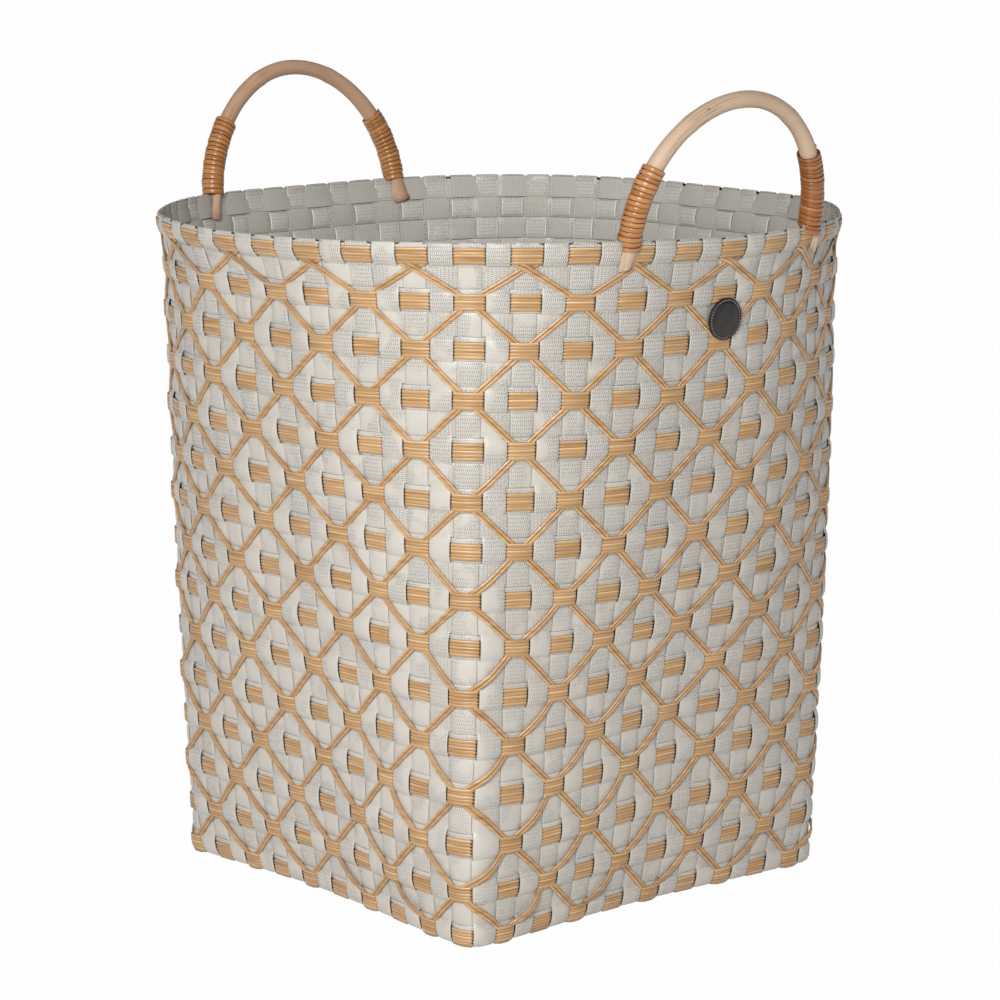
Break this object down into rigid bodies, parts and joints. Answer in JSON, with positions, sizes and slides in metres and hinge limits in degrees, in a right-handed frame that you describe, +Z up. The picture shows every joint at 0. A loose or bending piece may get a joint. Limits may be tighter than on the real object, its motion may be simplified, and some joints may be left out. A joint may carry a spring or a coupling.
{
  "type": "storage basket",
  "caption": "Open storage basket woven from flat strap, square base and round rim, with tan bands, two forked cane handles and a round badge.",
  "frame": {"origin": "middle of the underside of the square base, on the surface the basket stands on", "axes": "+X to the right along the front face, +Y from the front handle to the rear handle, +Z up"},
  "size_m": [0.4308, 0.4596, 0.5343],
  "materials": {
    "grey_strap": "embossed polypropylene strap, satin",
    "tan_strand": "ribbed tan plastic strand, satin",
    "peeled_cane": "peeled cane, dry",
    "rattan_strip": "varnished rattan peel, glossy",
    "dark_pewter": "dark antique metal"
  },
  "bodies": {
    "root": {"woven_shell": "grey_strap", "rim_fold": "grey_strap", "diamond_net": "tan_strand", "tan_band_01": "tan_strand", "tan_band_02": "tan_strand", "tan_band_03": "tan_strand", "tan_band_04": "tan_strand", "tan_band_05": "tan_strand", "tan_band_06": "tan_strand", "tan_band_07": "tan_strand", "tan_band_08": "tan_strand", "tan_band_09": "tan_strand", "tan_band_10": "tan_strand", "tan_band_11": "tan_strand", "tan_band_12": "tan_strand", "tan_band_13": "tan_strand", "tan_band_14": "tan_strand", "tan_band_15": "tan_strand", "front_handle": "peeled_cane", "rear_handle": "peeled_cane", "front_left_wrap": "rattan_strip", "front_right_wrap": "rattan_strip", "rear_left_wrap": "rattan_strip", "rear_right_wrap": "rattan_strip", "badge": "dark_pewter"}
  },
  "joints": []
}
